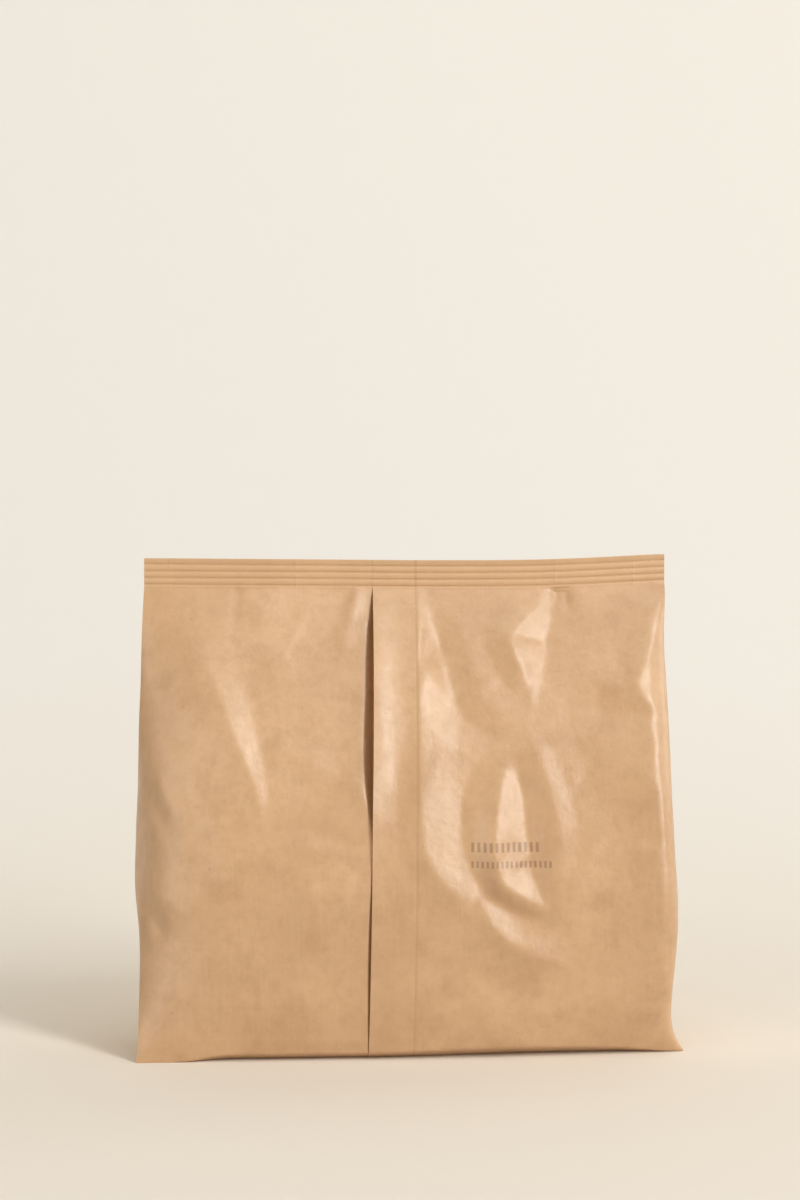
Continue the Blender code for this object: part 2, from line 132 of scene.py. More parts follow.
# The flap and the folds lie askew up the face.
SWAY_PROFILE = ((0, -1), (0.3, -0.62), (0.54, -0.38), (0.8, 0), (1, 0.27))
CURL_PROFILE = ((0, 0), (0.3, 0.08), (0.4, 0.1), (0.5, 0.35), (0.56, 0.6), (0.62, 0.9),
                (0.69, 1), (0.77, 0.95), (0.9, 0.75), (0.96, 0.4), (1, 0.01))

# How the seam face turns under, up its rise, and the share of that rise along the width: the
# corners reach down to the floor, and the edge between them stands clear of it.
SEAM_TURN_PROFILE = ((0, 1), (0.25, 0.7), (0.5, 0.4), (0.75, 0.13), (0.9, 0.02), (1, 0))
EDGE_RISE_PROFILE = ((-1, 0.02), (-0.82, 0.12), (-0.7, 0.66), (-0.5, 0.72), (-0.1, 0.74),
                     (0.2, 0.95), (0.5, 1), (0.8, 0.64), (0.93, 0.2), (1, 0.02))

# The top edge rises to the right: pairs of a share of the half width and a share of the lift.
TOP_EDGE_PROFILE = ((-1, 0), (-0.3, -0.22), (0.1, -0.35), (0.55, -0.13), (1, 1))
LIFT_START = 0.6

# How full a face is across its width, how its turn and its upper right corner run out along it,
# and how its folds fade out at its side folds, in the seal and at the base.
LEFT_CROWN_POWER = 8.0
RIGHT_CROWN_POWER = 60.0
PLAIN_CROWN_POWER = 3.5
CROWN_ROUNDING = 0.85
FADE_POWER = 40
CORNER_FADE_POWER = 6
TOP_CORNER_POWER = 7
SEAL_FADE = 0.006
BASE_FADE = 0.02

# Folds of the paper, each with how sharp its crest is and a route of points. A point is its
# place as a share of the half width and of the body's height, its rise, below zero where it
# sinks, and how far the paper slopes away on the left and on the right, as the route runs.
SEAM_FACE_FOLDS = (
    # The crest where the flap is joined, and the trough that leaves it.
    (1.1, ((0.05, 0.98, 0.6, 0.6, 0.9), (0.05, 0.89, 2, 1, 1.6), (0.045, 0.76, 2.7, 1.4, 1.8),
           (0.05, 0.68, 2.4, 1.8, 1.8), (0.05, 0.61, 1.9, 1.8, 1.2), (0.05, 0.51, 1.9, 1.9, 1),
           (0.07, 0.43, 1.7, 1.6, 1), (0.14, 0.37, 1.2, 1.2, 1), (0.25, 0.33, 0.3, 0.8, 0.8))),
    (1.1, ((0.075, 0.97, -0.3, 0.6, 0.4), (0.12, 0.89, -1.5, 1.2, 0.9), (0.17, 0.79, -2.1, 1.3, 1.3),
           (0.21, 0.72, -2, 1.2, 1.5), (0.3, 0.685, -1.3, 1.1, 1.2), (0.36, 0.67, -0.4, 0.8, 0.8))),
    # The hollow that runs round the tongue.
    (1.2, ((0.43, 0.67, -0.2, 0.8, 0.8), (0.35, 0.66, -0.7, 1.2, 1), (0.28, 0.63, -1.5, 1.2, 1.4),
           (0.23, 0.58, -2.3, 1.2, 1.8), (0.21, 0.52, -2.7, 1.2, 1.9), (0.22, 0.44, -2.6, 1.2, 1.8),
           (0.27, 0.37, -2.3, 1, 1.4), (0.33, 0.33, -2, 0.8, 1.2), (0.45, 0.3, -1.8, 0.7, 1.3),
           (0.54, 0.29, -0.6, 0.6, 1))),
    # The tongue: its crest, the hollow beside it and the crest that closes it on the right.
    (1.1, ((0.38, 0.62, 0.2, 0.5, 0.7), (0.345, 0.56, 1.6, 1.2, 0.7), (0.325, 0.49, 2.6, 1.7, 0.8),
           (0.32, 0.41, 2.9, 1.9, 0.8), (0.345, 0.37, 2.6, 1.6, 0.8), (0.41, 0.345, 1.8, 1.1, 0.7),
           (0.5, 0.31, 0.2, 0.6, 0.4))),
    (1.1, ((0.4, 0.62, -0.2, 0.4, 0.6), (0.43, 0.56, -1.4, 0.6, 1.1), (0.45, 0.46, -2.2, 0.8, 1.6),
           (0.47, 0.4, -2.4, 0.8, 1.8), (0.49, 0.36, -1.8, 0.7, 1.4), (0.52, 0.32, -0.2, 0.4, 0.6))),
    (1.1, ((0.46, 0.68, 0.2, 0.4, 0.7), (0.5, 0.62, 1.2, 0.8, 1), (0.54, 0.54, 1.5, 0.9, 1.1),
           (0.565, 0.47, 1.1, 0.9, 1.1), (0.57, 0.38, 0.4, 0.6, 1), (0.56, 0.3, 0.1, 0.5, 0.8))),
    (1.2, ((0.27, 0.34, 0.2, 0.6, 0.8), (0.31, 0.29, 1.8, 1, 1.5), (0.38, 0.245, 3, 1.3, 1.8),
           (0.48, 0.215, 2.8, 1.4, 1.9), (0.56, 0.205, 1.4, 1.2, 1.6), (0.63, 0.2, 0.1, 0.8, 0.8))),
    # The pleat under the seal and the facet on its left.
    (1.1, ((0.585, 1.01, -1.2, 0.8, 0.5), (0.565, 0.94, -1.6, 1.6, 1), (0.55, 0.9, -1.8, 2, 1.5),
           (0.517, 0.81, -1.6, 1.8, 1.5), (0.487, 0.74, -0.2, 1, 0.6))),
    (1.0, ((0.589, 1.02, -1.8, 0.25, 0.25), (0.587, 0.98, -1.6, 0.25, 0.25),
           (0.58, 0.955, 0, 0.2, 0.2))),
    (1.0, ((0.62, 1.02, -1.3, 0.25, 0.3), (0.623, 0.98, -1.3, 0.25, 0.35),
           (0.635, 0.945, 0, 0.2, 0.3))),
    (1.1, ((0.56, 0.98, 0.1, 0.8, 0.5), (0.48, 0.94, 1.4, 1.2, 0.9), (0.4, 0.895, 3.2, 1.8, 1.2),
           (0.41, 0.86, 3.6, 1.8, 1.2), (0.45, 0.8, 2, 1.1, 1), (0.48, 0.745, 0.2, 0.4, 0.5))),
    # The hollow beside the right edge and the crests along it.
    (1.0, ((0.95, 0.97, 0.4, 1.2, 1.5), (0.93, 0.88, 2.2, 1.2, 3.2), (0.925, 0.78, 3, 1.2, 3.8),
           (0.925, 0.66, 2.6, 1.2, 3.6), (0.94, 0.52, 1.2, 1.2, 2.4), (0.95, 0.4, 0, 1, 1.5))),
    (1.0, ((0.99, 0.93, 0.3, 0.6, 1), (0.94, 0.87, 2.2, 1.3, 1.3), (0.9, 0.83, 3.2, 1.5, 1.2),
           (0.86, 0.79, 2.8, 1.4, 1.1), (0.72, 0.775, 0, 0.9, 0.9))),
    (1.1, ((0.87, 0.8, 0.6, 0.6, 0.6), (0.88, 0.765, 1.6, 1, 0.8), (0.95, 0.735, 1.2, 0.6, 0.6),
           (0.99, 0.72, 0, 0.4, 0.4))),
    (1.4, ((0.95, 0.67, 0.4, 0.8, 0.6), (0.91, 0.62, 0.9, 0.9, 0.9), (0.84, 0.59, 0.7, 1.2, 1),
           (0.76, 0.56, 0, 1, 0.8))),
    (1.3, ((0.95, 0.7, 0.2, 0.8, 1), (0.95, 0.62, 0.9, 0.9, 1.6), (0.95, 0.53, 1.2, 0.9, 1.7),
           (0.95, 0.45, 0.7, 0.8, 1.4), (0.95, 0.38, 1, 0.8, 1.6), (0.95, 0.26, 0.9, 0.8, 1.4),
           (0.96, 0.13, 0.3, 0.6, 1))),
    (1.4, ((0.99, 0.47, 0, 0.5, 0.6), (0.92, 0.46, -0.7, 0.6, 0.6), (0.86, 0.45, 0, 0.6, 0.6))),
    # The wedge on the left panel and the pleats under the seal.
    (1.1, ((-0.78, 0.87, 0.4, 1.6, 2), (-0.72, 0.79, 2.6, 1.4, 2.8), (-0.66, 0.7, 3.2, 1.2, 2.6),
           (-0.58, 0.6, 2.2, 0.8, 1.8), (-0.53, 0.51, 0.1, 0.2, 0.8))),
    (1.1, ((-0.18, 1.01, 1.4, 0.4, 0.3), (-0.2, 0.96, 1.9, 0.7, 0.5), (-0.23, 0.9, 1.3, 0.9, 0.8),
           (-0.25, 0.83, 0, 0.6, 0.6))),
    (1.3, ((-0.47, 1, 0.7, 1, 0.5), (-0.55, 0.95, 1.1, 1.3, 0.8), (-0.54, 0.9, 0, 1, 0.6))),
    # The dents and small crests at the left edge.
    (1.3, ((-0.99, 0.59, -0.3, 0.6, 0.6), (-0.94, 0.54, -1.3, 0.6, 0.9),
           (-0.88, 0.48, -1, 0.6, 0.9), (-0.85, 0.43, 0, 0.6, 0.8))),
    (1.3, ((-0.94, 0.61, 0, 0.9, 0.6), (-0.9, 0.57, 0.9, 0.9, 0.7), (-0.84, 0.52, 0.7, 0.8, 0.7),
           (-0.79, 0.49, 0, 0.6, 0.6))),
    (1.3, ((-0.98, 0.35, 0.2, 0.8, 0.5), (-0.89, 0.34, 1, 1.2, 0.9), (-0.81, 0.31, 0.9, 1, 0.9),
           (-0.78, 0.27, 0.2, 0.8, 0.8))),
    (1.2, ((-0.97, 0.33, -0.2, 0.5, 0.6), (-0.91, 0.29, -1.8, 0.6, 0.9),
           (-0.9, 0.26, -1.8, 0.6, 0.9), (-0.94, 0.23, -1.2, 0.6, 0.8), (-0.97, 0.22, 0, 0.5, 0.6))),
    # The soft swelling low on the left.
    (1.6, ((-0.89, 0.16, 0, 2, 2), (-0.75, 0.13, 0.6, 2.4, 2.4), (-0.6, 0.1, 0, 2, 2))),
    # The creases along the bottom edge.
    (1.4, ((-0.62, 0.04, 0, 0.4, 0.4), (-0.38, 0.04, 0.5, 0.4, 0.5), (-0.14, 0.04, 0.6, 0.4, 0.5))),
    (1.4, ((0.18, 0.04, 0, 0.4, 0.4), (0.49, 0.04, 0.5, 0.4, 0.5), (0.8, 0.04, 0, 0.4, 0.5))),
)
PLAIN_FACE_FOLDS = (
    # Puckers under the seal.
    (1.1, ((-0.42, 1.01, -1.5, 0.8, 0.6), (-0.46, 0.92, -3.2, 1.6, 1), (-0.52, 0.82, -2.2, 1.6, 1.2),
           (-0.6, 0.72, 0, 1.2, 1))),
    (1.1, ((0.08, 1.01, -1.2, 0.6, 0.8), (0.04, 0.93, -3, 1.2, 1.6), (0.06, 0.83, -2, 1.4, 1.6),
           (0.12, 0.73, 0, 1, 1.2))),
    (1.1, ((0.66, 1.01, -1.2, 0.8, 0.8), (0.62, 0.9, -3.6, 1.6, 1.2), (0.56, 0.8, -3, 1.8, 1.2),
           (0.44, 0.7, 0, 1.2, 1))),
    # Crests that run from the upper corners down to the full middle of the face.
    (1.1, ((-0.96, 0.94, 0.5, 0.8, 0.8), (-0.86, 0.84, 3.2, 1.6, 1.2), (-0.74, 0.72, 4.2, 2, 1.2),
           (-0.66, 0.6, 3, 1.8, 1.1), (-0.62, 0.5, 0, 1, 0.8))),
    (1.1, ((0.95, 0.92, 0.5, 0.8, 0.8), (0.88, 0.8, 3.4, 1.2, 1.8), (0.8, 0.68, 4, 1.2, 2),
           (0.76, 0.56, 2.2, 1, 1.6), (0.74, 0.46, 0, 0.8, 1))),
    # A long hollow over the middle and the crest under it.
    (1.2, ((-0.4, 0.7, 0, 1, 1), (-0.2, 0.6, -3.6, 1.6, 1.2), (0.06, 0.55, -4.2, 1.8, 1.2),
           (0.28, 0.58, -2.4, 1.4, 1), (0.4, 0.66, 0, 1, 1))),
    (1.2, ((-0.3, 0.5, 0, 1, 1), (-0.08, 0.44, 2.6, 1.2, 1.8), (0.2, 0.45, 2.4, 1.2, 1.8),
           (0.36, 0.52, 0, 1, 1))),
    # Dents where the face meets the gussets.
    (1.2, ((0.99, 0.6, 0, 1, 1), (0.88, 0.5, -4, 1.4, 1.2), (0.72, 0.44, -2.2, 1.2, 1.2),
           (0.58, 0.42, 0, 1, 1))),
    (1.2, ((-0.99, 0.48, 0, 1, 1), (-0.87, 0.4, -4, 1.2, 1.4), (-0.72, 0.38, -2.2, 1.1, 1.2),
           (-0.6, 0.42, 0, 1, 1))),
    # The soft swelling above the base.
    (1.4, ((-0.8, 0.24, 0, 1.4, 1.2), (-0.4, 0.17, 2, 1.6, 1.6), (0.1, 0.15, 2, 1.6, 1.6),
           (0.6, 0.2, 0, 1.4, 1.2))),
)
FOLD_STEPS = 6

# Small creases all over the sheet, each a short straight fold.
CREASE_SEED = 11
CREASE_COUNT = 110
CREASE_PLACE_ACROSS = (-0.95, 0.95)
CREASE_PLACE_UP = (0.03, 0.97)
CREASE_LENGTH = (0.012, 0.055)
CREASE_REACH = (0.4, 1.5)
CREASE_RISE = 0.9
CREASE_SHARPNESS = 1.3
SOFTEN_PASSES = 1

# How finely the sheet is divided.
LEFT_PANEL_COLUMNS = 84
ROLL_COLUMNS = 12
POCKET_COLUMNS = 4
FLAP_COLUMNS = 18
RIGHT_PANEL_COLUMNS = 106
PLAIN_FACE_COLUMNS = 128
SIDE_COLUMNS = 30
BODY_ROWS = 168
TURN_ROWS = 9
GROOVE_ROWS = (-0.5, -0.28, -0.1, 0.1, 0.28, 0.5)
ROW_DECIMALS = 7
WELD_DISTANCE = 0.000001
SHARP_ANGLE = math.radians(55)


def curve(points, at):
    """Read a smooth curve through the points at each position."""
    position, value = np.array(points, dtype=float).T
    slope = np.gradient(value, position)
    first = np.clip(np.searchsorted(position, at, side="right") - 1, 0, len(position) - 2)
    span = position[first + 1] - position[first]
    step = np.clip((at - position[first]) / span, 0.0, 1.0)
    ease = step * step * (3.0 - 2.0 * step)
    bend = (1.0 - step) * slope[first] - step * slope[first + 1]
    return (1.0 - ease) * value[first] + ease * value[first + 1] + step * (1.0 - step) * span * bend


def turn_under(height, inset, rise):
    """How far paper has turned under at each height above the base, on a quarter ellipse."""
    left_to_go = 1.0 - np.clip(height / rise, 0.0, 1.0)
    return inset * (1.0 - np.sqrt(1.0 - left_to_go * left_to_go))


def fold_route(points):
    """The route of a fold in metres, rounded through its points."""
    to_metres = (BAG_WIDTH / 2.0, BODY_HEIGHT, FOLD_RISE, FOLD_REACH, FOLD_REACH)
    points = np.array(points, dtype=float) * to_metres
    station = np.arange(len(points), dtype=float)
    fine = np.linspace(0.0, station[-1], FOLD_STEPS * (len(points) - 1) + 1)
    return np.stack([curve(np.stack([station, points[:, axis]], axis=1), fine)
                     for axis in range(len(to_metres))], axis=1)


def fold_rise(x, z, sharpness, points):
    """Rise of one fold over the sheet: a crest with paper sloping away on both sides."""
    route = fold_route(points)
    nearest = np.full(x.shape, np.inf)
    rise = np.zeros(x.shape)
    for start, end in zip(route[:-1], route[1:]):
        run = end - start
        along = ((x - start[0]) * run[0] + (z - start[1]) * run[1]) / (run[0] ** 2 + run[1] ** 2)
        along = np.clip(along, 0.0, 1.0)
        off_x = x - start[0] - along * run[0]
        off_z = z - start[1] - along * run[1]
        distance = np.hypot(off_x, off_z)
        reaches = start[3:, None, None] + along * run[3:, None, None]
        reach = np.where(run[0] * off_z > run[1] * off_x, *reaches)
        slope = np.clip(1.0 - distance / reach, 0.0, 1.0) ** sharpness
        here = (start[2] + along * run[2]) * slope
        rise = np.where(distance < nearest, here, rise)
        nearest = np.minimum(nearest, distance)
    return rise


def small_creases(seed):
    """Short folds at seeded places all over a face."""
    chance = np.random.default_rng(seed)
    creases = []
    for _ in range(CREASE_COUNT):
        middle = np.array((chance.uniform(*CREASE_PLACE_ACROSS), chance.uniform(*CREASE_PLACE_UP)))
        turn = chance.uniform(0.0, math.pi)
        half = chance.uniform(*CREASE_LENGTH) / 2.0
        reach = chance.uniform(*CREASE_REACH)
        rise = CREASE_RISE * chance.uniform(-1.0, 1.0)
        run = np.array((math.cos(turn) / (BAG_WIDTH / 2.0), math.sin(turn) / BODY_HEIGHT)) * half
        ends = [(*(middle + way * run), share * rise, reach, reach)
                for way, share in ((-1.0, 0.0), (0.0, 1.0), (1.0, 0.0))]
        creases.append((CREASE_SHARPNESS, tuple(ends)))
    return tuple(creases)


def soften(field):
    """Round off a field over the sheet by one step of the grid."""
    for axis in (0, 1):
        first = field.take([0], axis)
        last = field.take([-1], axis)
        before = np.concatenate([first, np.delete(field, -1, axis)], axis)
        after = np.concatenate([np.delete(field, 0, axis), last], axis)
        field = (before + 2.0 * field + after) / 4.0
    return field


def relief(x, z, across, folds):
    """All folds of a face, fading out at its side folds, at the base and in the seal."""
    total = sum(fold_rise(x, z, *fold) for fold in folds)
    for _ in range(SOFTEN_PASSES):
        total = soften(total)
    side_fade = 1.0 - np.abs(across) ** FADE_POWER
    seal_fade = np.clip((1.0 - z / BODY_HEIGHT) / SEAL_FADE, 0.0, 1.0)
    base_fade = np.clip(z / BODY_HEIGHT / BASE_FADE, 0.0, 1.0)
    return total * side_fade * seal_fade * base_fade


def crown(across, power):
    """Share of a face's bulge at each share of its half width."""
    return np.clip(1.0 - np.abs(across) ** power, 0.0, 1.0) ** CROWN_ROUNDING


def corner_fade(across):
    """The turn under to the base runs out towards the bag's corners."""
    return 1.0 - np.abs(across) ** CORNER_FADE_POWER


def row_heights():
    """Heights of the sheet's rows: the turned base, the body and the grooved seal."""
    turn = np.linspace(0.0, SEAM_TURN_RISE, TURN_ROWS + 1)
    body = np.linspace(SEAM_TURN_RISE, BODY_HEIGHT, BODY_ROWS + 1)[1:]
    seal = [groove_heights() + share * GROOVE_WIDTH for share in GROOVE_ROWS]
    heights = np.concatenate([turn, body, *seal, [BAG_HEIGHT]])
    return np.unique(np.round(heights, ROW_DECIMALS))[:, None]


def groove_heights():
    """Heights of the middles of the seal's grooves."""
    return BAG_HEIGHT - TOP_LAND - GROOVE_PITCH * np.arange(GROOVE_COUNT)


def groove_sink(height):
    """Depth of the seal's grooves at each height."""
    off = np.min(np.abs(height - groove_heights()[None, :]), axis=1, keepdims=True)
    return GROOVE_DEPTH * (0.5 + 0.5 * np.cos(2.0 * np.pi * np.clip(off / GROOVE_WIDTH, 0.0, 0.5)))


class Sheet:
    """The wrapped sheet: columns of points, added one after another round the bag."""

    def __init__(self):
        self.height = row_heights()
        self.share = np.clip(self.height / BODY_HEIGHT, 0.0, 1.0)
        half_width = BAG_WIDTH / 2.0
        self.sway = SEAM_SWAY * curve(SWAY_PROFILE, self.share)
        self.left = half_width + SIDE_DRIFT * curve(LEFT_DRIFT_PROFILE, self.share)
        self.right = half_width + SIDE_DRIFT * curve(RIGHT_DRIFT_PROFILE, self.share)
        inset = PLAIN_FOLD_INSET * curve(PLAIN_INSET_PROFILE, self.share)
        self.plain_left = self.left - inset
        self.plain_right = self.right - inset
        centre = SEAL_BACKSET * curve(LEAN_PROFILE, self.share)
        open_depth = (BASE_DEPTH - SEAL_THICKNESS) * curve(DEPTH_PROFILE, self.share)
        half_depth = (SEAL_THICKNESS + open_depth) / 2.0 - groove_sink(self.height)
        self.seam_fold_y = centre - half_depth
        self.setback = RIGHT_CORNER_SETBACK * curve(SETBACK_PROFILE, self.share)
        self.corner_reach = TOP_CORNER_REACH * curve(TOP_CORNER_PROFILE, self.share)
        # Half of the plain face's turn is taken by its side folds and half by the face itself.
        self.plain_turn = turn_under(self.height, PLAIN_TURN_INSET, PLAIN_TURN_RISE) / 2.0
        self.plain_fold_y = centre + half_depth - self.plain_turn
        self.seam_creases = small_creases(CREASE_SEED)
        self.plain_creases = small_creases(CREASE_SEED + 1)
        self.columns = []
        self.paper_x = []

    def add(self, x, y, paper_x):
        """Add columns at these places, each with its place across the flat sheet."""
        x, y, z = np.broadcast_arrays(x, y, self.height)
        lift_share = np.clip((self.share - LIFT_START) / (1.0 - LIFT_START), 0.0, 1.0)
        edge = np.clip(2.0 * x / BAG_WIDTH, -1.0, 1.0)
        z = z + TOP_EDGE_LIFT * curve(TOP_EDGE_PROFILE, edge) * lift_share ** 2
        self.columns.append(np.stack([x, y, z], axis=2))
        self.paper_x.append(np.broadcast_to(paper_x, x.shape[1:]))

    def seam_face_y(self, x):
        """The seam face without its flap: the side folds, the bulge, the folds and the turn."""
        across = x / np.where(x < 0.0, self.left, self.right)
        power = np.where(across < 0.0, LEFT_CROWN_POWER, RIGHT_CROWN_POWER)
        bulge = SEAM_FACE_BULGE * curve(SEAM_BULGE_PROFILE, self.share) * crown(across, power)
        edge_rise = curve(EDGE_RISE_PROFILE, across)
        up_edge = self.height / (SEAM_TURN_RISE * edge_rise)
        turned = SEAM_TURN_INSET * edge_rise * curve(SEAM_TURN_PROFILE, up_edge)
        to_right = np.clip(across, 0.0, 1.0)
        setback = self.setback * to_right ** 2 - self.corner_reach * to_right ** TOP_CORNER_POWER
        height = np.broadcast_to(self.height, x.shape)
        off_flap = np.abs(x - self.sway - FLAP_EDGE_X - FLAP_WIDTH / 2.0) - FLAP_WIDTH / 2.0
        calm = FLAP_CALM + (1.0 - FLAP_CALM) * np.clip(off_flap / CALM_MARGIN, 0.0, 1.0)
        folds = relief(x - self.sway, height, across, SEAM_FACE_FOLDS)
        folds = folds + calm * relief(x - self.sway, height, across, self.seam_creases)
        return self.seam_fold_y - bulge - folds + turned + setback

    def add_seam_face(self):
        """The left panel, the pocket behind the flap's edge, the flap and the right panel."""
        open_share = curve(POCKET_PROFILE, self.share)
        edge_x = FLAP_EDGE_X + self.sway
        root_x = edge_x + FLAP_WIDTH
        thickness = FLAP_THICKNESS * np.where(self.share < 1.0, 1.0, PRESSED_SHARE)

        step = even_steps(LEFT_PANEL_COLUMNS)
        crease_x = edge_x - ROLL_WIDTH * open_share
        x = -self.left + step * (crease_x + self.left)
        self.add(x, self.seam_face_y(x), x[0])
        step = even_steps(ROLL_COLUMNS)[:, 1:]
        x = crease_x + ROLL_WIDTH * open_share * step
        roll = POCKET_DEPTH * open_share * step ** ROLL_POWER
        self.add(x, self.seam_face_y(x) + roll, x[0])

        step = even_steps(POCKET_COLUMNS)[:, 1:]
        x = edge_x + POCKET_REACH * open_share * step
        depth = POCKET_DEPTH * open_share * (1.0 - step ** 2)
        self.add(x, self.seam_face_y(x) + depth, x[0])

        curl = FLAP_CURL * curve(CURL_PROFILE, self.share)
        self.add(edge_x, self.seam_face_y(edge_x) - curl, edge_x[0])
        step = even_steps(FLAP_COLUMNS)
        x = edge_x + step * FLAP_WIDTH
        self.add(x, self.seam_face_y(x) - curl * (1.0 - step) ** CURL_POWER - thickness, x[0])

        x = root_x + ROOT_GROOVE_WIDTH / 2.0
        self.add(x, self.seam_face_y(x) - thickness + ROOT_GROOVE_DEPTH, x[0])
        start = root_x + ROOT_GROOVE_WIDTH
        step = even_steps(RIGHT_PANEL_COLUMNS)
        x = start + step * (self.right - start)
        fade = thickness * np.clip(1.0 - step / THICKNESS_FADE_SHARE, 0.0, 1.0)
        self.add(x, self.seam_face_y(x) - fade, x[0])

    def add_side(self, sign, seam_fold_x, plain_fold_x, seam_fold_y):
        """A gusset: from the seam face to the plain face on the right, and back on the left."""
        step = (2.0 * even_steps(SIDE_COLUMNS)[:, 1:] - 1.0) * sign
        mix = (1.0 + step) / 2.0
        fold_x = seam_fold_x * (1.0 - mix) + plain_fold_x * mix
        middle = 1.0 - step ** 2
        swell = SIDE_BULGE * curve(SIDE_BULGE_PROFILE, self.share) * middle
        tuck = GUSSET_TUCK * curve(GUSSET_PROFILE, self.share) * (1.0 - np.abs(step))
        turned = turn_under(self.height, SIDE_TURN_INSET, SIDE_TURN_RISE) * middle
        fold_y = seam_fold_y * (1.0 - mix) + self.plain_fold_y * mix
        paper_x = sign * (BAG_WIDTH / 2.0 + BASE_DEPTH * mix[0])
        self.add(sign * (fold_x + swell - tuck - turned), fold_y, paper_x)

    def add_plain_face(self):
        """The plain face, from the right gusset back to the left one."""
        step = 1.0 - 2.0 * even_steps(PLAIN_FACE_COLUMNS)[:, 1:]
        x = step * np.where(step < 0.0, self.plain_left, self.plain_right)
        fullness = curve(PLAIN_BULGE_PROFILE, self.share)
        bulge = PLAIN_FACE_BULGE * fullness * crown(step, PLAIN_CROWN_POWER)
        turned = self.plain_turn * corner_fade(step)
        height = np.broadcast_to(self.height, x.shape)
        folds = relief(x, height, step, PLAIN_FACE_FOLDS + self.plain_creases)
        self.add(x, self.plain_fold_y + bulge + folds - turned, BAG_WIDTH + BASE_DEPTH - x[0])

    def points(self):
        """All points, in rows up the bag and columns round it."""
        return np.concatenate(self.columns, axis=1)

    def flat_x(self):
        """The place of each column across the flat sheet."""
        return np.concatenate(self.paper_x)


def even_steps(count):
    """Shares from 0 to 1, one for each column."""
    return np.linspace(0.0, 1.0, count + 1)[None, :]


def wrap_sheet():
    """The sheet with every column that goes round the bag."""
    sheet = Sheet()
    sheet.add_seam_face()
    sheet.add_side(1, sheet.right, sheet.plain_right, sheet.seam_face_y(sheet.right))
    sheet.add_plain_face()
    sheet.add_side(-1, sheet.left, sheet.plain_left, sheet.seam_face_y(-sheet.left))
    return sheet


def make_bag(material):
    """Wrap a grid round the bag, weld its meeting edges and close its top and base."""
    wrapped = wrap_sheet()
    points = wrapped.points()
    flat_x = wrapped.flat_x()
    heights = wrapped.height[:, 0]
    rows, columns = points.shape[:2]
    low = points.min(axis=(0, 1))
    high = points.max(axis=(0, 1))
    points -= np.array([(low[0] + high[0]) / 2.0, (low[1] + high[1]) / 2.0, low[2]])

    paper = bmesh.new()
    uv_layer = paper.loops.layers.uv.new("UVMap")
    bmesh.ops.create_grid(paper, x_segments=columns - 1, y_segments=rows - 1, size=1.0,
                          calc_uvs=True)
    for face in paper.faces:
        for loop in face.loops:
            column = round(loop[uv_layer].uv.x * (columns - 1))
            row = round(loop[uv_layer].uv.y * (rows - 1))
            loop[uv_layer].uv = (flat_x[column], heights[row])
    for vert in paper.verts:
        column = round((vert.co.x + 1.0) / 2.0 * (columns - 1))
        row = round((vert.co.y + 1.0) / 2.0 * (rows - 1))
        vert.co = points[row, column]
    bmesh.ops.remove_doubles(paper, verts=paper.verts, dist=WELD_DISTANCE)
    rims = [edge for edge in paper.edges if edge.is_boundary]
    caps = bmesh.ops.holes_fill(paper, edges=rims, sides=0)["faces"]
    bmesh.ops.triangulate(paper, faces=caps)
    bmesh.ops.recalc_face_normals(paper, faces=paper.faces)

    mesh = bpy.data.meshes.new("kraft_bag")
    paper.to_mesh(mesh)
    paper.free()
    mesh.materials.append(material)
    mesh.shade_smooth()
    mesh.set_sharp_from_angle(angle=SHARP_ANGLE)
    bag = bpy.data.objects.new("kraft_bag", mesh)
    bpy.context.scene.collection.objects.link(bag)
    return bag


class Value:
    """A number in a shader: Python's operators on it add the Math nodes."""

    def __init__(self, shader, socket):
        self.shader = shader
        self.socket = socket

    def math(self, operation, *others):
        """This number and the others through a Math node."""
        return self.shader.math(operation, self, *others)

    def __add__(self, other):
        return self.math("ADD", other)

    def __sub__(self, other):
        return self.math("SUBTRACT", other)

    def __rsub__(self, other):
        return self.shader.math("SUBTRACT", other, self)

    def __mul__(self, other):
        return self.math("MULTIPLY", other)

    def __truediv__(self, other):
        return self.math("DIVIDE", other)

    def __rtruediv__(self, other):
        return self.shader.math("DIVIDE", other, self)

    def __abs__(self):
        return self.math("ABSOLUTE")

    __radd__ = __add__
    __rmul__ = __mul__

    def limit(self):
        """The number held between 0 and 1."""
        return self.math("MINIMUM", 1.0).math("MAXIMUM", 0.0)

    def ramp(self, start, end):
        """How far the number is from one value to another, from 0 to 1."""
        return ((self - start) / (end - start)).limit()


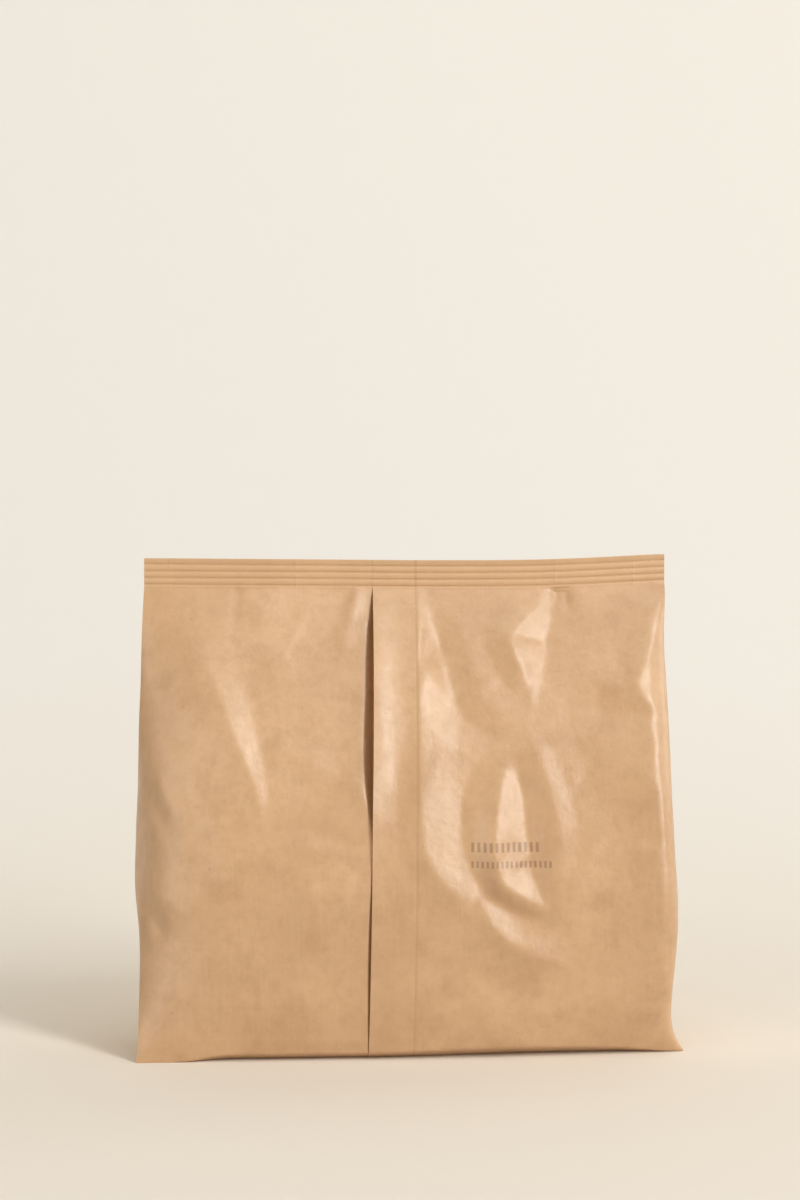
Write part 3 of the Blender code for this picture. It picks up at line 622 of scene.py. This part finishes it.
class Shader:
    """The nodes of a material or of the world, each added by one method."""

    def __init__(self, owner, surface):
        owner.use_nodes = True
        self.owner = owner
        self.tree = owner.node_tree
        self.surface = self.tree.nodes[surface]

    def node(self, kind, settings=None, inputs=None, output=0):
        """Add a node, set its settings, feed its inputs and give one of its outputs."""
        made = self.tree.nodes.new(kind)
        for name, value in (settings or {}).items():
            setattr(made, name, value)
        for place, value in (inputs or {}).items():
            self.feed(made.inputs[place], value)
        return Value(self, made.outputs[output])

    def feed(self, socket, value):
        """Link a shader's number or colour to a socket, or set the socket to a plain one."""
        if isinstance(value, Value):
            self.tree.links.new(value.socket, socket)
        else:
            socket.default_value = value

    def math(self, operation, *values):
        """Numbers through a Math node."""
        return self.node("ShaderNodeMath", {"operation": operation}, dict(enumerate(values)))

    def stretched(self, vector, scale):
        """Coordinates stretched by a factor along each axis."""
        return self.node("ShaderNodeMapping", inputs={"Vector": vector, "Scale": scale})

    def noise(self, vector, scale, detail, roughness):
        """A soft noise over the coordinates, from 0 to 1."""
        inputs = {"Vector": vector, "Scale": scale, "Detail": detail, "Roughness": roughness}
        return self.node("ShaderNodeTexNoise", inputs=inputs, output="Fac")

    def mix(self, factor, first, second):
        """Mix two colours."""
        inputs = {0: factor, 6: first, 7: second}
        return self.node("ShaderNodeMix", {"data_type": "RGBA"}, inputs, output=2)


# Colours are linear.
KRAFT_MID = (0.565, 0.340, 0.172, 1.0)
KRAFT_PALE = (0.650, 0.408, 0.218, 1.0)
KRAFT_DEEP = (0.480, 0.272, 0.128, 1.0)
FIBRE_PALE = (0.720, 0.490, 0.290, 1.0)
FLECK_DARK = (0.300, 0.145, 0.060, 1.0)
PRESSED_PALE = (0.700, 0.450, 0.250, 1.0)

# The noises over the paper: the scale, the detail and the roughness of each.
CLOUD_NOISE = (22.0, 3.0, 0.5)
PATCH_NOISE = (58.0, 4.0, 0.6)
MOTTLE_NOISE = (190.0, 3.0, 0.6)
STREAK_NOISE = (620.0, 3.0, 0.6)
CROSS_NOISE = (900.0, 2.0, 0.5)
FLECK_NOISE = (1300.0, 2.0, 0.5)
SPOT_NOISE = (480.0, 1.0, 0.4)
CRINKLE_NOISE = (120.0, 3.0, 0.55)
STREAK_STRETCH = (1.0, 1.0, 0.07)
CROSS_STRETCH = (0.1, 0.1, 1.0)

# Where the clouds start to turn paler and where they are palest. For the layers over them also
# the share of the layer's colour there.
CLOUD_SPAN = (0.35, 0.65)
PATCH_LAYER = (0.5, 0.7, 0.55)
MOTTLE_LAYER = (0.42, 0.72, 0.35)
STREAK_LAYER = (0.5, 0.8, 0.2)
CROSS_LAYER = (0.58, 0.8, 0.12)
FLECK_LAYER = (0.66, 0.72, 0.2)
SPOT_LAYER = (0.77, 0.8, 0.3)

# The paper's sheen.
KRAFT_ROUGHNESS = 0.33
MOTTLE_ROUGHNESS = 0.12
STREAK_ROUGHNESS = 0.05
KRAFT_SPECULAR = 1.0

# The paper's fine relief.
STREAK_HEIGHT = 0.3
FLECK_HEIGHT = 0.15
CRINKLE_HEIGHT = 3.2
RIDGE_HEIGHT = 1.6
RELIEF_STRENGTH = 0.5
RELIEF_DISTANCE = 0.00022

# The seal is pressed paler. Creases run up it: their places across the flat sheet, their half
# width and how far below the seal they start.
PRESSED_PALE_SHARE = 0.6
PRESSED_BLEND = 0.0005
SEAL_CREASES = (-0.1130, -0.0550, 0.0724, 0.1120)
SEAL_CREASE_REACH = 0.0009
SEAL_CREASE_START = 0.001

# Two rows of plain printed dashes on the right panel: where each row starts and ends across
# the flat sheet, its height above the base, how tall its dashes are and how far apart.
INK_BROWN = (0.190, 0.070, 0.018, 1.0)
INK_SHARE = 0.55
DASH_ROWS = ((0.0271, 0.0607, 0.0941, 0.0044, 0.0028), (0.0271, 0.0662, 0.0870, 0.0030, 0.0023))
DASH_FILL = 0.5

# Painted shade: a darker line along the fold where the flap is joined, standing in for the shade in
# its shallow groove, placed on the flat sheet.
ROOT_SHADE_X = FLAP_EDGE_X + SEAM_SWAY * SWAY_PROFILE[0][1] + FLAP_WIDTH + ROOT_GROOVE_WIDTH / 2.0
ROOT_SHADE_REACH = 0.0009
ROOT_SHADE_SHARE = 0.6


def print_dashes(shader, tone, across, up):
    """The rows of dashes over the paper's tone."""
    for start, end, base, height, pitch in DASH_ROWS:
        inside = across.math("GREATER_THAN", start) * across.math("LESS_THAN", end)
        inside = inside * up.math("GREATER_THAN", base) * up.math("LESS_THAN", base + height)
        dash = ((across - start) / pitch).math("FRACT").math("LESS_THAN", DASH_FILL)
        tone = shader.mix(inside * dash * INK_SHARE, tone, INK_BROWN)
    return tone


def make_kraft():
    """Satin kraft paper: clouded tone, fibres up the sheet, flecks and a fine tooth."""
    shader = Shader(bpy.data.materials.new("kraft_paper"), "Principled BSDF")
    place = shader.node("ShaderNodeTexCoord", output="Object")
    cloud = shader.noise(place, *CLOUD_NOISE)
    patch = shader.noise(place, *PATCH_NOISE)
    mottle = shader.noise(place, *MOTTLE_NOISE)
    streak = shader.noise(shader.stretched(place, STREAK_STRETCH), *STREAK_NOISE)
    cross = shader.noise(shader.stretched(place, CROSS_STRETCH), *CROSS_NOISE)
    fleck = shader.noise(place, *FLECK_NOISE)
    spot = shader.noise(place, *SPOT_NOISE)
    crinkle = shader.noise(place, *CRINKLE_NOISE)
    flat = shader.node("ShaderNodeTexCoord", output="UV")
    across = shader.node("ShaderNodeSeparateXYZ", inputs={0: flat}, output="X")
    up = shader.node("ShaderNodeSeparateXYZ", inputs={0: flat}, output="Y")

    tone = shader.mix(cloud.ramp(*CLOUD_SPAN), KRAFT_MID, KRAFT_PALE)
    layers = ((patch, PATCH_LAYER, KRAFT_DEEP), (mottle, MOTTLE_LAYER, KRAFT_DEEP),
              (streak, STREAK_LAYER, FIBRE_PALE), (cross, CROSS_LAYER, KRAFT_DEEP),
              (fleck, FLECK_LAYER, FIBRE_PALE), (spot, SPOT_LAYER, FLECK_DARK))
    for noise, (start, end, share), color in layers:
        tone = shader.mix(noise.ramp(start, end) * share, tone, color)
    in_seal = up.ramp(BODY_HEIGHT - PRESSED_BLEND, BODY_HEIGHT + PRESSED_BLEND)
    tone = shader.mix(in_seal * PRESSED_PALE_SHARE, tone, PRESSED_PALE)
    # Painted shade along the flap's root: a darker line in place of the shade in its groove.
    root_shade = 1.0 - abs(across - ROOT_SHADE_X).ramp(0.0, ROOT_SHADE_REACH)
    tone = shader.mix(root_shade * ROOT_SHADE_SHARE, tone, KRAFT_DEEP)
    tone = print_dashes(shader, tone, across, up)
    shader.feed(shader.surface.inputs["Base Color"], tone)

    roughness = KRAFT_ROUGHNESS + MOTTLE_ROUGHNESS * mottle + STREAK_ROUGHNESS * streak
    shader.feed(shader.surface.inputs["Roughness"], roughness)
    shader.surface.inputs["Specular IOR Level"].default_value = KRAFT_SPECULAR

    pressed = up.ramp(BODY_HEIGHT - SEAL_CREASE_START, BODY_HEIGHT)
    ridges = sum(1.0 - abs(across - crease).ramp(0.0, SEAL_CREASE_REACH) for crease in SEAL_CREASES)
    tooth = STREAK_HEIGHT * streak + FLECK_HEIGHT * fleck + CRINKLE_HEIGHT * crinkle
    height = tooth + RIDGE_HEIGHT * pressed * ridges * mottle
    inputs = {"Strength": RELIEF_STRENGTH, "Distance": RELIEF_DISTANCE, "Height": height}
    shader.feed(shader.surface.inputs["Normal"], shader.node("ShaderNodeBump", inputs=inputs))
    return shader.owner


# The studio: a pale sweep, soft lamps and the camera in front.
STAGE_COLOR = (0.890, 0.845, 0.765, 1.0)
STAGE_GLOW = (0.900, 0.870, 0.815, 1.0)
STAGE_GLOW_SHARE = 0.5
STAGE_GLOW_START = 0.12
STAGE_GLOW_END = 0.9
STAGE_WIDTH = 8.0
STAGE_FRONT = -2.5
STAGE_BACK = 1.3
STAGE_HEIGHT = 4.0
STAGE_SWEEP = 1.0
STAGE_SWEEP_SEGMENTS = 24
STAGE_TOLERANCE = 0.001
CARD_ROUGHNESS = 0.9
CARD_SPECULAR = 0.1


def seen_directly(shader):
    """1 on rays from the camera and on reflected or refracted ones, otherwise 0."""
    rays = (shader.node("ShaderNodeLightPath", output=f"Is {kind} Ray")
            for kind in ("Camera", "Glossy", "Transmission"))
    return sum(rays).limit()


def make_card():
    """Pale card that glows a little where it is seen, so that it reads as bright as the studio."""
    shader = Shader(bpy.data.materials.new("pale_card"), "Principled BSDF")
    shader.surface.inputs["Base Color"].default_value = STAGE_COLOR
    shader.surface.inputs["Roughness"].default_value = CARD_ROUGHNESS
    shader.surface.inputs["Specular IOR Level"].default_value = CARD_SPECULAR
    card = Value(shader, shader.surface.outputs["BSDF"])
    glow = shader.node("ShaderNodeEmission", inputs={"Color": STAGE_GLOW, "Strength": 1.0})
    place = shader.node("ShaderNodeTexCoord", output="Object")
    away = shader.node("ShaderNodeVectorMath", {"operation": "LENGTH"}, {0: place}, output="Value")
    glows = away.ramp(STAGE_GLOW_START, STAGE_GLOW_END) * STAGE_GLOW_SHARE
    share = seen_directly(shader) * glows
    mixed = shader.node("ShaderNodeMixShader", inputs={0: share, 1: card, 2: glow})
    shader.feed(shader.tree.nodes["Material Output"].inputs["Surface"], mixed)
    return shader.owner


def make_stage():
    """A floor that sweeps up into the backdrop."""
    sweep = bmesh.new()
    half = STAGE_WIDTH / 2.0
    profile = [(STAGE_FRONT, 0.0), (STAGE_BACK, 0.0), (STAGE_BACK, STAGE_HEIGHT)]
    line = [sweep.verts.new((-half, y, z)) for y, z in profile]
    edges = [sweep.edges.new(pair) for pair in zip(line[:-1], line[1:])]
    pulled = bmesh.ops.extrude_edge_only(sweep, edges=edges)["geom"]
    moved = [part for part in pulled if isinstance(part, bmesh.types.BMVert)]
    bmesh.ops.translate(sweep, verts=moved, vec=(STAGE_WIDTH, 0.0, 0.0))
    corner = [edge for edge in sweep.edges
              if all(abs(vert.co.y - STAGE_BACK) + abs(vert.co.z) < STAGE_TOLERANCE
                     for vert in edge.verts)]
    bmesh.ops.bevel(sweep, geom=corner, offset=STAGE_SWEEP, segments=STAGE_SWEEP_SEGMENTS,
                    profile=0.5, affect="EDGES", material=-1)
    mesh = bpy.data.meshes.new("studio_sweep")
    sweep.to_mesh(mesh)
    sweep.free()
    mesh.shade_smooth()
    mesh.materials.append(make_card())
    stage = bpy.data.objects.new("studio_sweep", mesh)
    bpy.context.scene.collection.objects.link(stage)


# Each lamp faces a point inside the bag. It has a name, its place from that point, its power in
# watts, its width, its height and its colour.
LAMPS = (
    ("key_lamp", (2.25, -2.61, 2.03), 95.0, 0.7, 3.0, (1.0, 0.99, 0.975)),
    ("rim_lamp", (3.82, -0.31, 1.15), 18.0, 1.6, 3.0, (1.0, 0.97, 0.93)),
    ("fill_lamp", (-3.02, -2.49, 0.83), 42.0, 3.0, 3.0, (1.0, 0.945, 0.87)),
    ("top_lamp", (0.19, -0.97, 3.88), 33.0, 2.5, 2.5, (1.0, 0.93, 0.83)),
    ("back_lamp", (2.30, 1.10, 0.60), 9.0, 0.9, 1.0, (1.0, 0.98, 0.95)),
)
AIM_HEIGHT = 0.11

# The world's colour, its strength as light and its strength where it is seen.
WORLD_COLOR = (1.0, 0.92, 0.80, 1.0)
WORLD_STRENGTH = 0.14
WORLD_SEEN = 0.88


def make_lights():
    """Soft lamps round the bag."""
    for name, place, power, width, height, color in LAMPS:
        lamp = bpy.data.lights.new(name, "AREA")
        lamp.shape = "RECTANGLE"
        lamp.energy = power
        lamp.size = width
        lamp.size_y = height
        lamp.color = color
        holder = bpy.data.objects.new(name, lamp)
        holder.location = Vector(place) + Vector((0.0, 0.0, AIM_HEIGHT))
        holder.rotation_mode = "QUATERNION"
        holder.rotation_quaternion = Vector(place).to_track_quat("Z", "Y")
        bpy.context.scene.collection.objects.link(holder)


def make_world():
    """The air round the studio: faint light, and a pale ground where it is seen."""
    air = Shader(bpy.data.worlds.new("studio"), "Background")
    air.surface.inputs["Color"].default_value = WORLD_COLOR
    strength = WORLD_STRENGTH + (WORLD_SEEN - WORLD_STRENGTH) * seen_directly(air)
    air.feed(air.surface.inputs["Strength"], strength)
    bpy.context.scene.world = air.owner


# The camera is level. It stands turned a little round the bag and aims beside the bag's middle.
CAMERA_DISTANCE = 1.0084
CAMERA_HEIGHT = 0.210
CAMERA_ORBIT = math.radians(-4.0)
CAMERA_AIM_X = -0.0033
CAMERA_LENS = 63.6
CAMERA_SENSOR = 36.0


def make_camera():
    """A level camera a little to the left of the bag's middle."""
    lens = bpy.data.cameras.new("camera")
    lens.lens = CAMERA_LENS
    lens.sensor_width = CAMERA_SENSOR
    camera = bpy.data.objects.new("camera", lens)
    camera.location = (CAMERA_DISTANCE * math.sin(CAMERA_ORBIT),
                       -CAMERA_DISTANCE * math.cos(CAMERA_ORBIT), CAMERA_HEIGHT)
    away = camera.location - Vector((CAMERA_AIM_X, 0.0, CAMERA_HEIGHT))
    camera.rotation_mode = "QUATERNION"
    camera.rotation_quaternion = away.to_track_quat("Z", "Y")
    bpy.context.scene.collection.objects.link(camera)
    bpy.context.scene.camera = camera


bag = make_bag(make_kraft())
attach(bag, "root")
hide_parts("paper_bag")
make_stage()
make_lights()
make_world()
make_camera()
bpy.context.scene.view_settings.view_transform = "Standard"
